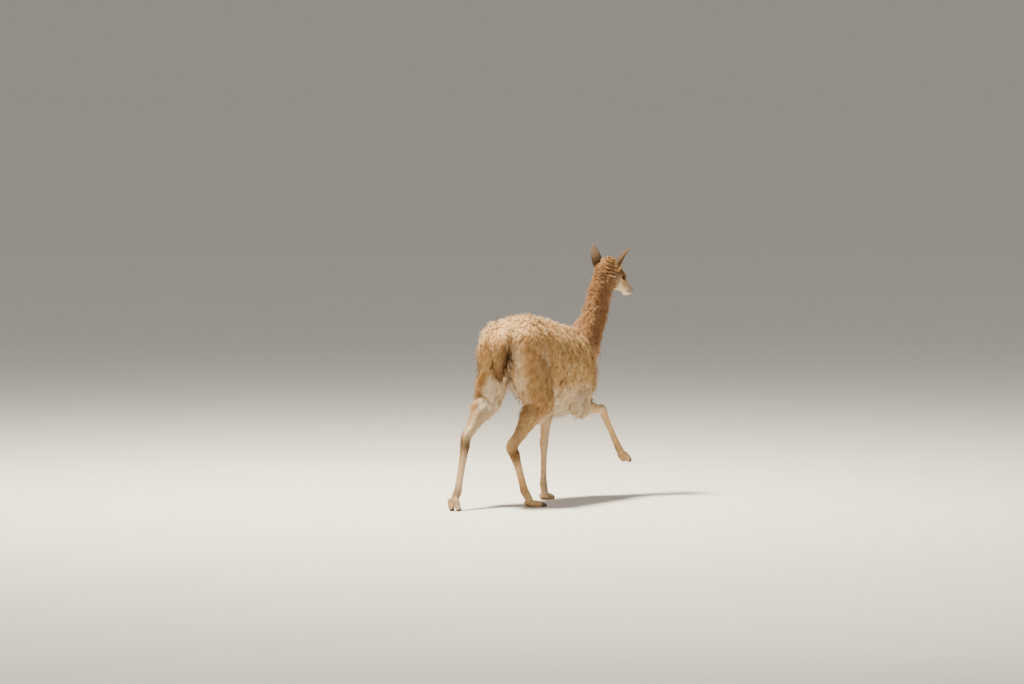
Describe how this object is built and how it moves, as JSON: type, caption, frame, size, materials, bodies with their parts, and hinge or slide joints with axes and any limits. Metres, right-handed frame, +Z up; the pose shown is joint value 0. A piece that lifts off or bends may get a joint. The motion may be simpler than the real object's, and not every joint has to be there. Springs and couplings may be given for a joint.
{
  "type": "life-size vicuna figure",
  "caption": "Vicuna in mid-walk with a long neck and woolly coat, its left hind leg pushed back and its right foreleg lifted, as a still life-size model.",
  "frame": {"origin": "on the floor, under the middle of the animal's bounding box", "axes": "+Z up, the animal faces -Y, its left side is at +X"},
  "size_m": [0.3702, 1.4471, 1.3156],
  "materials": {
    "ear_left": "soft woolly coat",
    "ear_right": "soft woolly coat",
    "eye_left": "wet and glossy",
    "eye_right": "wet and glossy",
    "foot_fore_left": "soft woolly coat",
    "foot_fore_right": "soft woolly coat",
    "foot_hind_left": "soft woolly coat",
    "foot_hind_right": "soft woolly coat",
    "head": "soft woolly coat",
    "leg_fore_left_shank": "soft woolly coat",
    "leg_fore_left_upper": "soft woolly coat",
    "leg_fore_right_shank": "soft woolly coat",
    "leg_fore_right_upper": "soft woolly coat",
    "leg_hind_left_shank": "soft woolly coat",
    "leg_hind_left_upper": "soft woolly coat",
    "leg_hind_right_shank": "soft woolly coat",
    "leg_hind_right_upper": "soft woolly coat",
    "nail_fore_left_left": "dull horn",
    "nail_fore_left_right": "dull horn",
    "nail_fore_right_left": "dull horn",
    "nail_fore_right_right": "dull horn",
    "nail_hind_left_left": "dull horn",
    "nail_hind_left_right": "dull horn",
    "nail_hind_right_left": "dull horn",
    "nail_hind_right_right": "dull horn",
    "neck": "soft woolly coat",
    "tail": "soft woolly coat",
    "torso": "soft woolly coat"
  },
  "bodies": {
    "root": {"ear_left": "ear_left", "ear_right": "ear_right", "eye_left": "eye_left", "eye_right": "eye_right", "foot_fore_left": "foot_fore_left", "foot_fore_right": "foot_fore_right", "foot_hind_left": "foot_hind_left", "foot_hind_right": "foot_hind_right", "head": "head", "leg_fore_left_shank": "leg_fore_left_shank", "leg_fore_left_upper": "leg_fore_left_upper", "leg_fore_right_shank": "leg_fore_right_shank", "leg_fore_right_upper": "leg_fore_right_upper", "leg_hind_left_shank": "leg_hind_left_shank", "leg_hind_left_upper": "leg_hind_left_upper", "leg_hind_right_shank": "leg_hind_right_shank", "leg_hind_right_upper": "leg_hind_right_upper", "nail_fore_left_left": "nail_fore_left_left", "nail_fore_left_right": "nail_fore_left_right", "nail_fore_right_left": "nail_fore_right_left", "nail_fore_right_right": "nail_fore_right_right", "nail_hind_left_left": "nail_hind_left_left", "nail_hind_left_right": "nail_hind_left_right", "nail_hind_right_left": "nail_hind_right_left", "nail_hind_right_right": "nail_hind_right_right", "neck": "neck", "tail": "tail", "torso": "torso"}
  },
  "joints": []
}
